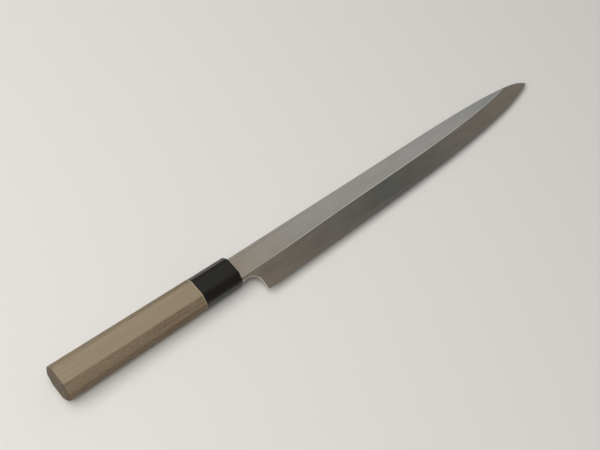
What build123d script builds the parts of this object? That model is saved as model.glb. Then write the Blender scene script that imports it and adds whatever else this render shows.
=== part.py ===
from build123d import *
import os
from math import atan2, degrees, sqrt

# A single-bevel slicing knife for raw fish, for the right hand, with an octagonal wooden handle.
# Millimetres. While it is built, the origin is on the handle's centre line at the ferrule's front face,
# +X runs to the tip, +Y to the spine, and +Z comes out of the bevelled front of the blade.

# Blade outline
edge_length = 300.0         # heel corner to tip in a straight line, the length such a blade is sold by
neck_length = 12.8          # from the ferrule's face to the heel corner
spine_height = 9.4          # spine above the handle's centre line at the neck
spine_crown = 1.0           # how far the spine has risen where it starts to fall to the tip
heel_height = 35.6          # spine at the neck down to the heel corner
tip_drop = 9.7              # spine at the neck down to the tip
hira_width = 17.6           # the flat: from the spine down to the ridge line, over the heel
neck_height = 20.2          # spine down to the neck's lower edge
choil_radius = 6.5          # hollow between the neck and the heel corner
choil_lean = 0.8            # how far the heel's back edge leans forwards on its way down

# Blade thickness
neck_thickness = 4.2
point_thickness = 1.9       # over the tip, before the bevel takes it away
edge_land = 0.15            # what the last stone leaves at the cutting edge
spine_ease = 0.4            # polished round of the spine's two edges
choil_bevel = 0.4           # polished bevel where the neck, the choil and the heel's back meet the front
steel_at_heel = 0.85        # hard steel welded under the soft iron
steel_at_tip = 0.45
steel_start = 4.0           # where the hard steel begins, ahead of the ferrule
hollow_wheel_radius = 300.0  # of the round stone that hollows the flat back, and so gives the depth
hollow_rim = 1.3            # flat rim left along the cutting edge
hollow_spine_rim = 2.2      # flat rim left along the spine

# Tang
tang_length = 104.0
tang_height = 11.2
tang_thickness = 3.6
tang_end_height = 5.0
tang_end_thickness = 2.6
tang_end_round = 1.2

# Handle and ferrule, one tapered octagon
handle_length = 115.5
ferrule_length = 32.2
butt_height = 26.4
butt_thickness = 21.4
butt_corner = 6.2           # run of the 45 degree facets
front_height = 25.1
front_thickness = 18.2
front_corner = 5.6
butt_edge_round = 0.9       # the edges between the facets: crisp at the butt, rounder towards the ferrule
ferrule_edge_round = 5.0    # and as round as this from the joint to the ferrule's front
butt_bevel = 1.5            # flat bevel round the end of the butt
joint_ease = 0.4            # softened end of the wood where it meets the horn
nose_ease = 1.4             # softened front of the ferrule
wood_proud = 0.2            # the wood stands this much proud of the horn
tenon_diameter = 14.4
tenon_recess = 0.7          # the tenon ends this far inside the ferrule
glue_gap = 0.05             # between tenon and bore
slot_gap = 0.1              # between tang and wood
slot_spare = 6.0            # air left behind the tang's end

# One overrun for every cut
overrun = 5.0

# The cutting edge: shares of the way from heel to tip, and of the rise from the heel corner to the tip
edge_shares = (
    (0.0, 0.0), (0.2, 0.068), (0.4, 0.145), (0.6, 0.262),
    (0.75, 0.408), (0.86, 0.578), (0.94, 0.77), (1.0, 1.0),
)
# The spine: shares of the same way, and of the rise to its crown, then of the drop from the crown to the tip
spine_rise_shares = ((0.15, 0.22), (0.36, 0.5), (0.55, 0.85), (0.68, 1.0))
spine_drop_shares = (
    (0.77, 0.042), (0.84, 0.11), (0.89, 0.215), (0.93, 0.345), (0.965, 0.515), (0.985, 0.7), (1.0, 1.0),
)
# The ridge line: shares of the same way, and of the flat's width as the rise above its place over the heel
ridge_shares = (
    (-0.15, 0.0), (0.1, 0.012), (0.3, 0.14), (0.5, 0.24), (0.65, 0.338),
    (0.76, 0.455), (0.84, 0.59), (0.92, 0.81), (1.0, 1.13),
)
# Stations of the bevel along the edge, as shares of the way from heel to tip
bevel_shares = (0.0, 0.2, 0.4, 0.6, 0.75, 0.86, 0.94, 1.0)
# Stations of the hollow: shares of the same way, and of the width between its two rims
hollow_shares = (
    (-0.02, 0.5), (0.0, 0.72), (0.03, 0.9), (0.1, 1.0), (0.2, 1.0), (0.35, 1.0),
    (0.5, 1.0), (0.65, 1.0), (0.78, 1.0), (0.87, 0.93), (0.92, 0.75), (0.95, 0.45),
)

# Places that follow from the sizes
heel_y = spine_height - heel_height
tip_y = spine_height - tip_drop
crown_y = spine_height + spine_crown
blade_reach = sqrt(edge_length**2 - (tip_y - heel_y) ** 2)
tip_x = neck_length + blade_reach
back_z = -neck_thickness / 2
grip_length = handle_length + ferrule_length


def along(share):
    """Place along the blade for a share of the way from heel to tip."""
    return neck_length + share * blade_reach


def between(start, end, share):
    return start + share * (end - start)


def edge_line():
    """The cutting edge, from the heel corner to the tip."""
    return Spline(*[(along(way), between(heel_y, tip_y, rise)) for way, rise in edge_shares])


def spine_line():
    """The spine, from the neck to the tip."""
    rise = [(along(way), between(spine_height, crown_y, share)) for way, share in spine_rise_shares]
    fall = [(along(way), between(crown_y, tip_y, share)) for way, share in spine_drop_shares]
    return Spline((0, spine_height), *rise, *fall)


def ridge_line():
    """Where the flat of the blade breaks into the bevel, carried on past the spine."""
    start = spine_height - hira_width
    return Spline(*[(along(way), start + rise * hira_width) for way, rise in ridge_shares])


def crossing(line, start, end):
    """Where the line crosses the straight from start to end."""
    return line.find_intersection_points(Line(start, end))[0]


def height_at(line, x):
    """Height of a line that runs along the blade, at x."""
    return crossing(line, (x, heel_y - overrun), (x, crown_y + overrun)).Y


def flat_z(x):
    """Height of the blade's front flat at x: it gets thinner towards the tip."""
    return back_z + between(neck_thickness, point_thickness, x / tip_x)


def blade_blank():
    """The blade's outline at its full thickness, thinning to the tip, before the bevel is ground."""
    neck_y = spine_height - neck_height
    choil = Vector(neck_length - choil_lean, neck_y)
    outline = make_face([
        spine_line(),
        edge_line(),
        Polyline((neck_length, heel_y), choil, (0, neck_y), (0, spine_height)),
    ])
    corner = outline.vertices().sort_by_distance(choil)[0]
    outline = Plane.XY.offset(back_z) * fillet(corner, choil_radius)
    blank = extrude(outline, neck_thickness)
    front_flat = Plane(
        origin=(0, 0, flat_z(0)), x_dir=(0, 1, 0), z_dir=(neck_thickness - point_thickness, 0, tip_x)
    )
    blank = split(blank, bisect_by=front_flat, keep=Keep.BOTTOM)
    spine_edges = blank.edges().filter_by(GeomType.BSPLINE).filter_by(lambda edge: (edge @ 0.5).Y > 0)
    return fillet(spine_edges, spine_ease)


def bevel_section(foot, inward):
    """Section of what the bevel takes away, square to the edge at foot."""
    ridge = crossing(ridge_line(), foot, foot + inward * heel_height)
    edge_z = back_z + edge_land
    slope = (flat_z(ridge.X) - edge_z) / (ridge - foot).length
    low = foot - inward * overrun
    high = ridge + inward * overrun
    roof_z = back_z + neck_thickness + overrun
    return make_face(Polyline(
        (low.X, low.Y, edge_z - slope * overrun),
        (high.X, high.Y, flat_z(ridge.X) + slope * overrun),
        (high.X, high.Y, roof_z),
        (low.X, low.Y, roof_z),
        close=True,
    ))


def bevel_cutter():
    """Everything above the bevel, from behind the neck to past the tip."""
    edge = edge_line()
    feet = [(edge @ share, edge % share) for share in bevel_shares]
    heel, run = feet[0]
    feet.insert(0, (heel - run * (neck_length + overrun), run))
    return loft([bevel_section(foot, run.rotate(Axis.Z, 90)) for foot, run in feet])


def polish_choil(ground):
    """Bevel the front edge of the neck's underside, the choil and the heel's back."""
    behind = ground.faces().filter_by(lambda face: choil_bevel < face.center().X < neck_length)
    front_edges = [face.edges().filter_by(Axis.Z, reverse=True).sort_by(Axis.Z)[-1] for face in behind]
    return chamfer(front_edges, choil_bevel)


def hollow_cutter():
    """The shallow hollow in the flat back: arcs of the stone across the blade, run out at both ends."""
    edge, spine = edge_line(), spine_line()
    sections = []
    for way, width in hollow_shares:
        x = along(way)
        low = height_at(edge, max(x, neck_length)) + hollow_rim
        high = height_at(spine, x) - hollow_spine_rim
        middle = (low + high) / 2
        half = (high - low) / 2 * width
        depth = half**2 / 2 / hollow_wheel_radius
        # The section goes on below the back to where the same arc is twice as deep
        reach = half * sqrt(2)
        ends = [(x, middle - reach, back_z - depth), (x, middle + reach, back_z - depth)]
        arc = ThreePointArc(ends[0], (x, middle, back_z + depth), ends[1])
        sections.append(make_face([arc, Line(*ends)]))
    return loft(sections)


def side_prism(*points):
    """A block with this side view, right across the blade."""
    side = make_face(Plane.XZ * Polyline(*points, close=True))
    return extrude(side, heel_height + overrun, both=True)


def steel_zone():
    """Where the hard steel lies: the lower layer, from ahead of the ferrule to the tip."""
    def top_z(x):
        return back_z + between(steel_at_heel, steel_at_tip, (x - neck_length) / blade_reach)
    end = tip_x + overrun
    low = back_z - overrun
    return side_prism((steel_start, low), (steel_start, top_z(steel_start)), (end, top_z(end)), (end, low))


def frustum(rear, nose):
    """A solid with flat sides between two outlines with as many corners each."""
    sides = [
        Face(Wire.make_polygon([rear[i - 1], rear[i], nose[i], nose[i - 1]])) for i in range(len(rear))
    ]
    ends = [Face(Wire.make_polygon(rear)), Face(Wire.make_polygon(nose))]
    return Solid(Shell([*sides, *ends]))


def tang_outline(x, gap):
    """Rectangle across the tang at x, larger all round by gap."""
    share = -x / tang_length
    half_height = between(tang_height, tang_end_height, share) / 2 + gap
    half_thickness = between(tang_thickness, tang_end_thickness, share) / 2 + gap
    return [
        (x, half_height, half_thickness),
        (x, -half_height, half_thickness),
        (x, -half_height, -half_thickness),
        (x, half_height, -half_thickness),
    ]


def tang():
    bar = frustum(tang_outline(-tang_length, 0), tang_outline(0, 0))
    end = bar.faces().sort_by(Axis.X)[0]
    return fillet(end.edges().filter_by(Axis.Z), tang_end_round)


def grip_outline(x, inset):
    """Octagon across the handle at x, smaller all round by inset."""
    share = -x / grip_length
    half_height = between(front_height, butt_height, share) / 2 - inset
    half_thickness = between(front_thickness, butt_thickness, share) / 2 - inset
    corner = between(front_corner, butt_corner, share) - inset * (2 - sqrt(2))
    quarter = [(half_height - corner, half_thickness), (half_height, half_thickness - corner)]
    quarters = [
        quarter,
        [(y, -z) for y, z in reversed(quarter)],
        [(-y, -z) for y, z in quarter],
        [(-y, z) for y, z in reversed(quarter)],
    ]
    return [(x, y, z) for corner_pair in quarters for y, z in corner_pair]


def across(x):
    """The plane across the handle at x."""
    return Plane(origin=(x, 0, 0), x_dir=(0, 1, 0), z_dir=(1, 0, 0))


def grip_end(x, inset, edge_round):
    """Octagon across the handle at x with rounded corners, smaller all round by inset."""
    octagon = make_face(Polyline(*[(y, z) for _, y, z in grip_outline(x, inset)], close=True))
    return (across(x) * fillet(octagon.vertices(), edge_round - inset)).face()


def grip(rear, nose):
    """The tapered octagon between two of its ends: flat facets, and rounded edges between them."""
    sides = []
    for rear_edge, nose_edge in zip(rear.outer_wire().edges(), nose.outer_wire().edges()):
        if rear_edge.geom_type == GeomType.LINE:
            corners = [rear_edge @ 0, rear_edge @ 1, nose_edge @ 1, nose_edge @ 0]
            sides.append(Face(Wire.make_polygon(corners)))
        else:
            sides.append(Face.make_surface_from_curves(rear_edge, nose_edge))
    return Solid(Shell([*sides, rear, nose]))


def end_edges(body, x):
    """Edges of the body that lie in the plane across the handle at x."""
    plane = across(x)
    return body.edges().filter_by(lambda edge: all(plane.contains(edge @ way) for way in (0, 0.5)))


def rod(diameter, rear_x, nose_x):
    return extrude(across(rear_x) * Circle(diameter / 2), nose_x - rear_x)


def make_handle():
    butt = grip_end(-grip_length, 0, butt_edge_round)
    body = grip(butt, grip_end(-ferrule_length, 0, ferrule_edge_round))
    body = fillet(end_edges(body, -ferrule_length), joint_ease)
    # What is kept of the butt opens at 45 degrees from its end face
    body &= frustum(
        grip_outline(-grip_length, butt_bevel), grip_outline(-ferrule_length, butt_bevel - handle_length)
    )
    body += rod(tenon_diameter, -ferrule_length, -tenon_recess)
    slot = frustum(tang_outline(-tang_length - slot_spare, slot_gap), tang_outline(0, slot_gap))
    return body - slot


def make_ferrule():
    rear, nose = [grip_end(x, wood_proud, ferrule_edge_round) for x in (-ferrule_length, 0)]
    body = grip(rear, nose)
    body = fillet(end_edges(body, 0), nose_ease)
    return body - rod(tenon_diameter + 2 * glue_gap, -ferrule_length - overrun, overrun)


def make_blade():
    """The two welded layers: soft iron with the tang, and the hard steel under it."""
    ground = polish_choil(blade_blank() - bevel_cutter())
    zone = steel_zone()
    iron = ground - zone + tang()
    steel = (ground & zone) - hollow_cutter()
    return iron, steel


iron, steel = make_blade()
pieces = {
    "blade_body_and_tang": iron,
    "edge_steel": steel,
    "ferrule": make_ferrule(),
    "handle": make_handle(),
}

# Lay the knife on its handle's lower facet, with the origin under the middle of the whole knife
facet_tilt = degrees(atan2((butt_thickness - front_thickness) / 2, grip_length))
turned = {node: Rot(0, facet_tilt, 0) * piece for node, piece in pieces.items()}
box = Compound(list(turned.values())).bounding_box()
lay_down = Pos(-box.center().X, -box.center().Y, -box.min.Z)

os.makedirs("parts", exist_ok=True)
for node, piece in turned.items():
    export_step(lay_down * piece, f"parts/{node}.step")
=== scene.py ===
import bpy
import bmesh
import math
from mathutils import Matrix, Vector


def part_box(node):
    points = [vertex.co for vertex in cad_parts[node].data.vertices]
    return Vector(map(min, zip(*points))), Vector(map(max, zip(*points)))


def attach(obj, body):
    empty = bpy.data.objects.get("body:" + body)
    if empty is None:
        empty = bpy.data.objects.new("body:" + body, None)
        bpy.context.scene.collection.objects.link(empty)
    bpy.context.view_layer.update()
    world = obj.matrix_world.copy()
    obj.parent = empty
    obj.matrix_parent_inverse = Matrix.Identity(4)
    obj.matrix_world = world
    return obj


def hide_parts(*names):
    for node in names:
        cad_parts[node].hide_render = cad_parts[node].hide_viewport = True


# A single-bevel slicing knife, dressed for rendering on a plain pale floor.
# Metres. +X runs to the tip, +Y to the spine, +Z out of the bevelled front of the blade.
mm = 0.001

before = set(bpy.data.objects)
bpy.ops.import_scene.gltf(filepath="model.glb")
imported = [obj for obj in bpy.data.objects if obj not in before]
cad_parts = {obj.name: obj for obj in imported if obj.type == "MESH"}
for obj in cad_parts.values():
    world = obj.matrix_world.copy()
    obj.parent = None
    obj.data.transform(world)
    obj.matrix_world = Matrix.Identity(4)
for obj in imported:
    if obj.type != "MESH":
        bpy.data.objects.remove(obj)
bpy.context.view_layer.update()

joint_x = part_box("ferrule")[0][0]           # where the wood meets the horn
ferrule_front_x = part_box("ferrule")[1][0]
tip_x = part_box("edge_steel")[1][0]


def new_object(name, data):
    """An object of this data in the scene."""
    made = bpy.data.objects.new(name, data)
    bpy.context.scene.collection.objects.link(made)
    return made


# Camera: where the photograph was taken from, found from the straight lines of the knife
camera_place = (-0.35534, -0.29786, 0.68889)
camera_turn = (33.486, -5.256, -39.964)     # degrees
camera_lens = 66.2
sensor_width = 36.0                         # as the lens, in millimetres

camera = new_object("camera", bpy.data.cameras.new("camera"))
camera.data.sensor_width = sensor_width
camera.data.lens = camera_lens
camera.location = camera_place
camera.rotation_euler = [math.radians(angle) for angle in camera_turn]
bpy.context.scene.camera = camera


# Materials

# Sockets of a Mix node, by their places, because several of them share a name
mix_share, number_a, number_b, colour_a, colour_b = 0, 2, 3, 6, 7
mixed_number, mixed_colour = 0, 2


def linear(hex_colour):
    """An sRGB hex colour as the linear values that Blender works with."""
    shares = [int(hex_colour[i:i + 2], 16) / 255 for i in (1, 3, 5)]
    values = [s / 12.92 if s <= 0.04045 else ((s + 0.055) / 1.055) ** 2.4 for s in shares]
    return (*values, 1.0)


def add(tree, kind, links=None, stops=None, **settings):
    """Add a node and return its outputs.

    links gives each input a value or another node's output, and stops are a ramp's places
    and colours.
    """
    node = tree.nodes.new("ShaderNode" + kind)
    for name, value in settings.items():
        setattr(node, name, value)
    if stops:
        ramp = node.color_ramp.elements
        while len(ramp) < len(stops):
            ramp.new(1.0)
        for element, (place, colour) in zip(ramp, stops):
            element.position = place
            element.color = linear(colour)
    for socket, value in (links or {}).items():
        if isinstance(value, bpy.types.NodeSocket):
            tree.links.new(value, node.inputs[socket])
        else:
            node.inputs[socket].default_value = value
    return node.outputs


def new_material(name):
    """A material, its tree and its shader's inputs."""
    material = bpy.data.materials.new(name)
    material.use_nodes = True
    tree = material.node_tree
    return material, tree, tree.nodes["Principled BSDF"].inputs


def stretched(tree, length, width, depth):
    """Coordinates that make a pattern of size 1 this long along the knife, wide and deep."""
    place = add(tree, "TexCoord")["Object"]
    scale = (1 / length, 1 / width, 1 / depth)
    return add(tree, "Mapping", {"Vector": place, "Scale": scale})["Vector"]


def tinted(tree, tone, marks, stops, share=1.0):
    """The tone multiplied by colours that follow the marks, up to this share."""
    tint = add(tree, "ValToRGB", {"Fac": marks}, stops=stops)[0]
    return add(tree, "Mix", {
        mix_share: share, colour_a: tone, colour_b: tint,
    }, data_type="RGBA", blend_type="MULTIPLY")[mixed_colour]


def along_blade(tree, stops):
    """A tone that changes from the ferrule's front (0) to the blade's tip (1)."""
    place = add(tree, "SeparateXYZ", {"Vector": add(tree, "TexCoord")["Object"]})
    share = add(tree, "MapRange", {
        "Value": place["X"], "From Min": ferrule_front_x, "From Max": tip_x,
    })[0]
    return add(tree, "ValToRGB", {"Fac": share}, stops=stops)[0]


def finish_metal(tree, shader, tone, marks, smoothest, roughest):
    """Bare metal of this tone, whose roughness follows its marks."""
    rough = add(tree, "MapRange", {"Value": marks, "To Min": smoothest, "To Max": roughest})[0]
    tree.links.new(tone, shader["Base Color"])
    tree.links.new(rough, shader["Roughness"])
    shader["Metallic"].default_value = 1.0


# Soft iron on the flat: ground along the blade on a wheel and rubbed with fine paper, which leaves
# a satin of faint lengthwise streaks under a slight cloud. Its tone along the blade is a painted
# reflection: warm next to the ferrule, a clean grey from there on, and a little duller at the tip.
streak_length = 160 * mm
streak_width = 1.6 * mm         # real scratches are a twentieth of this, too fine to show
cloud_length = 30 * mm
cloud_width = 9 * mm
cloud_share = 0.5               # of the marks. The rest are streaks


def flat_iron_material():
    material, tree, shader = new_material("papered_soft_iron")
    streaks = add(tree, "TexNoise", {
        "Vector": stretched(tree, streak_length, streak_width, streak_length),
        "Scale": 1.0, "Detail": 2.0,
    })[0]
    cloud = add(tree, "TexNoise", {
        "Vector": stretched(tree, cloud_length, cloud_width, cloud_length),
        "Scale": 1.0, "Detail": 2.0,
    })[0]
    marks = add(tree, "Mix", {
        mix_share: cloud_share, number_a: streaks, number_b: cloud,
    })[mixed_number]
    # painted reflection: the flat's tone is warm by the ferrule, grey beyond and duller at the tip
    iron = along_blade(tree, (
        (0.0, "#b8ad9d"), (0.2, "#c0bcb5"), (0.5, "#c4c2bc"), (0.7, "#c9c7c2"),
        (0.87, "#b8b8b4"), (1.0, "#b3b5b2"),
    ))
    tone = tinted(tree, iron, marks, ((0.35, "#eeeeec"), (0.65, "#ffffff")))
    finish_metal(tree, shader, tone, cloud, smoothest=0.28, roughest=0.32)
    return material


# The same iron on the bevel: hazed by natural stones, so darker and cloudy, with the stone's long
# faint lines. Its tone along the blade is a painted reflection, greyest half way along and warmer
# at both ends.
haze_length = 22 * mm
haze_width = 5 * mm
stone_line_length = 90 * mm
stone_line_width = 0.9 * mm     # coarser than the real lines, so that they show
stone_line_share = 0.4          # of the marks. The rest is haze


def bevel_iron_material():
    material, tree, shader = new_material("stone_hazed_soft_iron")
    haze = add(tree, "TexNoise", {
        "Vector": stretched(tree, haze_length, haze_width, haze_length),
        "Scale": 1.0, "Detail": 2.0,
    })[0]
    lines = add(tree, "TexNoise", {
        "Vector": stretched(tree, stone_line_length, stone_line_width, stone_line_length),
        "Scale": 1.0, "Detail": 2.0,
    })[0]
    marks = add(tree, "Mix", {
        mix_share: stone_line_share, number_a: haze, number_b: lines,
    })[mixed_number]
    # painted reflection: greyest half way along, warmer at both ends
    iron = along_blade(tree, (
        (0.0, "#a09486"), (0.25, "#928c83"), (0.45, "#7a7a74"), (0.7, "#958f85"),
        (0.85, "#9b9286"), (1.0, "#a4998a"),
    ))
    tone = tinted(tree, iron, marks, ((0.35, "#ebeae8"), (0.65, "#ffffff")))
    finish_metal(tree, shader, tone, haze, smoothest=0.34, roughest=0.4)
    return material


# Iron and steel burnished by the finest stone: the ridge line and the rims of the back. Their
# rounding catches the light, and their tone is also a painted highlight, brighter than the flat,
# with a painted reflection: warmer and darker next to the ferrule, duller towards the tip.
burnish_length = 8 * mm
burnish_width = 0.4 * mm        # real marks of this stone are too fine to see


def burnished_material():
    material, tree, shader = new_material("burnished_iron")
    marks = add(tree, "TexNoise", {
        "Vector": stretched(tree, burnish_length, burnish_width, burnish_length),
        "Scale": 1.0, "Detail": 2.0,
    })[0]
    # painted highlight and painted reflection: brighter than the flat, warm by the ferrule, duller
    # at the tip
    burnish_and_painted_highlight = along_blade(tree, (
        (0.0, "#d0c7b9"), (0.25, "#dcd8ce"), (0.6, "#dad6cd"), (0.78, "#c6c4be"),
        (1.0, "#bebcb8"),
    ))
    tone = tinted(tree, burnish_and_painted_highlight, marks, ((0.35, "#f2f2f1"), (0.65, "#ffffff")))
    finish_metal(tree, shader, tone, marks, smoothest=0.2, roughest=0.24)
    return material


# Hard steel, stoned with the iron. It takes a closer polish than the iron does, so it shows as a
# slightly brighter band along the edge. Its tone along the blade is a painted reflection, warmer at
# both ends and greyer half way along, where the bevel's painted reflection is darkest, so the band
# shows most clearly there.
stoned_length = 60 * mm
stoned_width = 0.6 * mm         # real stone scratches are far finer


def stoned_steel_material():
    material, tree, shader = new_material("stoned_hard_steel")
    marks = add(tree, "TexNoise", {
        "Vector": stretched(tree, stoned_length, stoned_width, stoned_length),
        "Scale": 1.0, "Detail": 3.0, "Roughness": 0.7,
    })[0]
    # painted reflection: warmer at both ends, greyer half way along
    steel = along_blade(tree, ((0.0, "#a39686"), (0.5, "#898680"), (1.0, "#a0978b")))
    tone = tinted(tree, steel, marks, ((0.3, "#eeedeb"), (0.7, "#ffffff")))
    finish_metal(tree, shader, tone, marks, smoothest=0.34, roughest=0.38)
    return material


# The same steel in the hollow of the back, as the round stone left it: a satin of fine lines that
# follow the blade.
hollow_line_length = 35 * mm
hollow_line_width = 0.5 * mm    # real grinding lines are a fifth of this


def hollow_steel_material():
    material, tree, shader = new_material("hollow_ground_steel")
    marks = add(tree, "TexNoise", {
        "Vector": stretched(tree, hollow_line_length, hollow_line_width, hollow_line_length),
        "Scale": 1.0, "Detail": 3.0, "Roughness": 0.7,
    })[0]
    tone = add(tree, "ValToRGB", {"Fac": marks}, stops=((0.3, "#b6b6b3"), (0.7, "#c4c4c1")))[0]
    finish_metal(tree, shader, tone, marks, smoothest=0.28, roughest=0.32)
    return material


# Buffalo horn, sawn, sanded and buffed: black, with faint brown fibres along it under a soft gloss.
horn_fibre_length = 30 * mm
horn_fibre_width = 0.9 * mm     # real fibres are a few times finer
horn_fibre_height = 0.02 * mm
horn_relief = 0.1
buffing_grain = 1.2 * mm        # real buffing marks are too fine to show
horn_ior = 1.44                 # clean horn has 1.54, but this one mirrors less


def horn_material():
    material, tree, shader = new_material("buffed_buffalo_horn")
    fibres = add(tree, "TexNoise", {
        "Vector": stretched(tree, horn_fibre_length, horn_fibre_width, horn_fibre_width),
        "Scale": 1.0, "Detail": 3.0,
    })[0]
    tone = add(tree, "ValToRGB", {"Fac": fibres}, stops=((0.35, "#0c0a07"), (0.7, "#17130d")))[0]
    buffed = add(tree, "TexNoise", {
        "Vector": stretched(tree, buffing_grain, buffing_grain, buffing_grain),
        "Scale": 1.0, "Detail": 2.0,
    })[0]
    rough = add(tree, "MapRange", {"Value": buffed, "To Min": 0.3, "To Max": 0.36})[0]
    relief = add(tree, "Bump", {
        "Strength": horn_relief, "Distance": horn_fibre_height, "Height": fibres,
    })[0]
    tree.links.new(tone, shader["Base Color"])
    tree.links.new(rough, shader["Roughness"])
    tree.links.new(relief, shader["Normal"])
    shader["IOR"].default_value = horn_ior
    return material


# Magnolia, planed and sanded, left bare: greyish beige with a straight fine grain along the handle.
# The side and slanting facets are speckled with short flecks, and towards the ferrule they have
# darker streaks; they are also darkened as a painted shade, the upright sides most. The end grain
# and the bevel round it are darker still, and the corner at the joint has a painted highlight.
grain_length = 60 * mm
grain_width = 0.7 * mm          # real grain lines are about a third of this
grain_height = 0.05 * mm
grain_relief = 0.25
band_length = 260 * mm
band_width = 3.5 * mm
band_share = 0.35
fleck_length = 2.4 * mm
fleck_width = 0.6 * mm
dark_streak_length = 45 * mm
dark_streak_width = 2.0 * mm
streaks_start_x = joint_x - 62 * mm
end_ring_width = 1.1 * mm
end_grain_roughness = 0.95
# painted highlight along the wood's corner at the joint
joint_highlight_width = 0.9 * mm
joint_highlight_share = 0.5
wood_ior = 1.5

# How much a face looks sideways, or back along the handle, where the side facets' tone (with its
# painted shade) and the end grain each begin and are complete
side_facet_shares = (0.25, 0.6)
end_cut_shares = (-0.35, -0.65)     # the butt looks along -X


def planed_tone(tree, grain):
    """The wood where it is cut along its grain."""
    bands = add(tree, "TexNoise", {
        "Vector": stretched(tree, band_length, band_width, band_width),
        "Scale": 1.0, "Detail": 1.0,
    })[0]
    grain_tone = add(tree, "ValToRGB", {"Fac": grain}, stops=(
        (0.3, "#82735b"), (0.65, "#96866e"),
    ))[0]
    band_tone = add(tree, "ValToRGB", {"Fac": bands}, stops=(
        (0.35, "#88795f"), (0.65, "#93836c"),
    ))[0]
    return add(tree, "Mix", {
        mix_share: band_share, colour_a: grain_tone, colour_b: band_tone,
    }, data_type="RGBA")[mixed_colour]


def side_flecks_and_painted_shade(tree, tone, flecks, place, sideways):
    """The tone on side and slanting facets: flecks, streaks and painted shade, most when upright.
    """
    # real flecks, whose tint also darkens these facets overall as painted shade
    tone = tinted(tree, tone, flecks, ((0.35, "#d0cabf"), (0.6, "#faf7f2")))
    near_ferrule = add(tree, "MapRange", {
        "Value": place["X"], "From Min": streaks_start_x, "From Max": joint_x,
    })[0]
    dark_streaks = add(tree, "TexNoise", {
        "Vector": stretched(tree, dark_streak_length, dark_streak_width, dark_streak_width),
        "Scale": 1.0, "Detail": 1.0,
    })[0]
    streak_tones = ((0.4, "#d3c7b8"), (0.6, "#ffffff"))
    tone = tinted(tree, tone, dark_streaks, streak_tones, share=near_ferrule)
    # painted shade: the upright sides darker still
    return tinted(tree, tone, sideways, ((0.8, "#ffffff"), (0.95, "#eee5d8")))


def end_tone(tree):
    """The end grain, with its growth rings."""
    rings = add(tree, "TexNoise", {
        "Vector": stretched(tree, grain_length, end_ring_width, end_ring_width),
        "Scale": 1.0, "Detail": 3.0,
    })[0]
    return add(tree, "ValToRGB", {"Fac": rings}, stops=((0.35, "#5c5141"), (0.65, "#6b5f4d")))[0]


def wood_material():
    material, tree, shader = new_material("sanded_magnolia")
    grain = add(tree, "TexNoise", {
        "Vector": stretched(tree, grain_length, grain_width, grain_width),
        "Scale": 1.0, "Detail": 4.0, "Roughness": 0.65,
    })[0]
    flecks = add(tree, "TexNoise", {
        "Vector": stretched(tree, fleck_length, fleck_width, fleck_width),
        "Scale": 1.0, "Detail": 3.0, "Roughness": 0.7,
    })[0]
    place = add(tree, "SeparateXYZ", {"Vector": add(tree, "TexCoord")["Object"]})
    facing = add(tree, "SeparateXYZ", {"Vector": add(tree, "TexCoord")["Normal"]})
    sideways = add(tree, "Math", {"Value": facing["Y"]}, operation="ABSOLUTE")[0]

    tone = planed_tone(tree, grain)
    on_side = add(tree, "MapRange", {
        "Value": sideways, "From Min": side_facet_shares[0], "From Max": side_facet_shares[1],
    })[0]
    tone = add(tree, "Mix", {
        mix_share: on_side, colour_a: tone,
        colour_b: side_flecks_and_painted_shade(tree, tone, flecks, place, sideways),
    }, data_type="RGBA")[mixed_colour]
    on_end = add(tree, "MapRange", {
        "Value": facing["X"], "From Min": end_cut_shares[0], "From Max": end_cut_shares[1],
    })[0]
    tone = add(tree, "Mix", {
        mix_share: on_end, colour_a: tone, colour_b: end_tone(tree),
    }, data_type="RGBA")[mixed_colour]
    # painted highlight: a pale band along the corner at the joint
    on_joint_highlight = add(tree, "MapRange", {
        "Value": place["X"], "From Min": joint_x - joint_highlight_width, "From Max": joint_x - joint_highlight_width / 2,
        "To Max": joint_highlight_share,
    })[0]
    tone = add(tree, "Mix", {
        mix_share: on_joint_highlight, colour_a: tone, colour_b: linear("#b9ab8f"),
    }, data_type="RGBA")[mixed_colour]

    rough = add(tree, "MapRange", {"Value": flecks, "To Min": 0.55, "To Max": 0.7})[0]
    rough = add(tree, "Mix", {
        mix_share: on_end, number_a: rough, number_b: end_grain_roughness,
    })[mixed_number]
    relief = add(tree, "Bump", {
        "Strength": grain_relief, "Distance": grain_height, "Height": grain,
    })[0]
    tree.links.new(tone, shader["Base Color"])
    tree.links.new(rough, shader["Roughness"])
    tree.links.new(relief, shader["Normal"])
    shader["IOR"].default_value = wood_ior
    return material


# Pieces

ridge_round = 0.45 * mm             # how far the burnished ridge reaches to each side
ridge_steps = 2
joined = 0.001 * mm                 # corners as near as this are one corner
sharp_angle = math.radians(30)      # faces that meet at more than this keep their edge
crease_angle = math.radians(6)      # the ridge and the weld line are gentler, but past this
front_share = 0.9                   # how squarely a face of the front or back looks along Z
bevel_share = 0.05                  # how much a face of the bevel looks towards the edge
rim_share = 0.99                    # how squarely a rim of the back looks along Z
rim_digits = 5                      # directions that agree to this many digits are one

burnished_metal = burnished_material()      # both layers of the blade have some


def meeting_angle(edge):
    return edge.calc_face_angle(0.0) if len(edge.link_faces) == 2 else 0.0


def finishes_at(edge):
    return {face.material_index for face in edge.link_faces}


def on_front(face):
    return face.normal.z > front_share


def creased(edge):
    """True where two faces of the blade's front meet, as at the ridge and the weld line."""
    return all(on_front(face) for face in edge.link_faces) and meeting_angle(edge) > crease_angle


def merged_copy(node):
    """A CAD piece's mesh with its loose triangles joined up."""
    mesh = bmesh.new()
    mesh.from_mesh(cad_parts[node].data)
    bmesh.ops.remove_doubles(mesh, verts=mesh.verts, dist=joined)
    mesh.normal_update()
    return mesh


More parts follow.
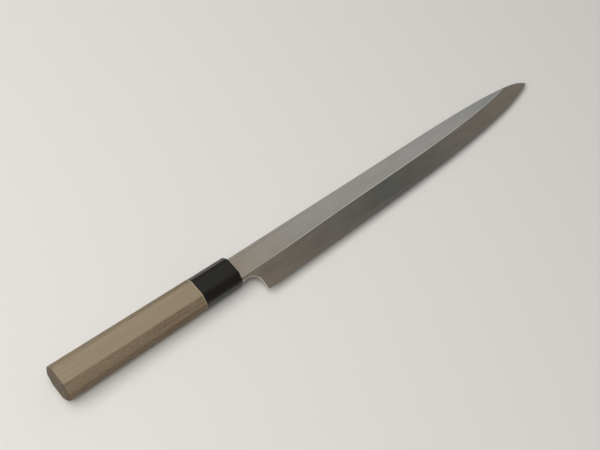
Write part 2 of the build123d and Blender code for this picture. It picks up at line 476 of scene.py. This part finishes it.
def finished_object(mesh, name, materials):
    """The finished mesh as an object in the scene."""
    made = new_object(name, bpy.data.meshes.new(name))
    mesh.to_mesh(made.data)
    mesh.free()
    for material in materials:
        made.data.materials.append(material)
    return made


def dress(mesh, name, node, materials):
    """Make the mesh a piece of the knife in place of a CAD piece.

    It is smooth but over sharp edges, so that curved faces don't show their triangles.
    """
    for face in mesh.faces:
        face.smooth = True
    for edge in mesh.edges:
        if meeting_angle(edge) > sharp_angle:
            edge.smooth = False
    piece = finished_object(mesh, name, materials)
    weighted = piece.modifiers.new("flats_stay_flat", "WEIGHTED_NORMAL")
    weighted.keep_sharp = True
    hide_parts(node)
    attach(piece, "root")


def blade_iron():
    """The iron layer: papered flat, spine and choil, burnished ridge and hazed bevel."""
    mesh = merged_copy("blade_body_and_tang")
    flat, bevel, burnished = range(3)
    for face in mesh.faces:
        leans_to_edge = face.normal.y < -bevel_share
        face.material_index = bevel if on_front(face) and leans_to_edge else flat
    ridge = [edge for edge in mesh.edges if creased(edge) and finishes_at(edge) == {flat, bevel}]
    rounded = bmesh.ops.bevel(
        mesh, geom=ridge, offset=ridge_round, offset_type="OFFSET", affect="EDGES",
        segments=ridge_steps, profile=0.5, material=-1,
    )
    for face in rounded["faces"]:
        face.material_index = burnished
    materials = [flat_iron_material(), bevel_iron_material(), burnished_metal]
    dress(mesh, "blade_iron", "blade_body_and_tang", materials)


def blade_steel():
    """The steel layer: stoned edge band in front, hollow back with burnished rims."""
    mesh = merged_copy("edge_steel")
    stoned, hollow, burnished = range(3)

    # The rims lie in one plane, so theirs is the direction that most of the back's area shares
    areas = {}
    for face in mesh.faces:
        if face.normal.z < -rim_share:
            facing = tuple(round(share, rim_digits) for share in face.normal)
            areas[facing] = areas.get(facing, 0) + face.calc_area()
    back = Vector(max(areas, key=areas.get))
    outermost = max(back.dot(corner.co) for corner in mesh.verts)
    for face in mesh.faces:
        on_back = face.normal.z < -front_share
        on_plane = all(back.dot(corner.co) > outermost - joined for corner in face.verts)
        if on_back:
            face.material_index = burnished if on_plane else hollow
        else:
            face.material_index = stoned

    for edge in mesh.edges:
        if creased(edge) or finishes_at(edge) == {hollow, burnished}:
            edge.smooth = False
    materials = [stoned_steel_material(), hollow_steel_material(), burnished_metal]
    dress(mesh, "blade_steel", "edge_steel", materials)


def horn_ferrule():
    dress(merged_copy("ferrule"), "horn_ferrule", "ferrule", [horn_material()])


def wood_handle():
    dress(merged_copy("handle"), "wood_handle", "handle", [wood_material()])


blade_iron()
blade_steel()
horn_ferrule()
wood_handle()


# Floor and light

floor_reach = 4.0               # from the knife to each side of the floor
floor_roughness = 0.9
surround_level = 0.23           # how bright the room's plain grey is


def floor_material():
    material, _, shader = new_material("matt_pale_floor")
    shader["Base Color"].default_value = linear("#e2dfda")
    shader["Roughness"].default_value = floor_roughness
    return material


floor_mesh = bmesh.new()
bmesh.ops.create_grid(floor_mesh, x_segments=1, y_segments=1, size=floor_reach)
floor = finished_object(floor_mesh, "floor", [floor_material()])

world = bpy.data.worlds.new("studio")
bpy.context.scene.world = world
world.use_nodes = True
background = world.node_tree.nodes["Background"].inputs
background["Color"].default_value = (surround_level, surround_level, surround_level, 1.0)
background["Strength"].default_value = 1.0


def overhead_panel(name, place, width, height, turn, radiance):
    """A soft panel facing down, as bright as radiance. Unturned, its width runs along X."""
    lamp = new_object(name, bpy.data.lights.new(name, "AREA"))
    lamp.data.shape = "RECTANGLE"
    lamp.data.size = width
    lamp.data.size_y = height
    lamp.data.energy = math.pi * width * height * radiance
    lamp.location = place
    lamp.rotation_euler.z = math.radians(turn)


overhead_panel("key", place=(-1.5, 0.3, 1.5), width=3.1, height=2.0, turn=0, radiance=2.4)
# Seen in the blade's flat, in its ridge and in the bevel near the tip
overhead_panel("shine", place=(1.25, 0.6, 1.4), width=2.0, height=1.1, turn=-14, radiance=0.32)

bpy.context.scene.view_settings.view_transform = "Standard"
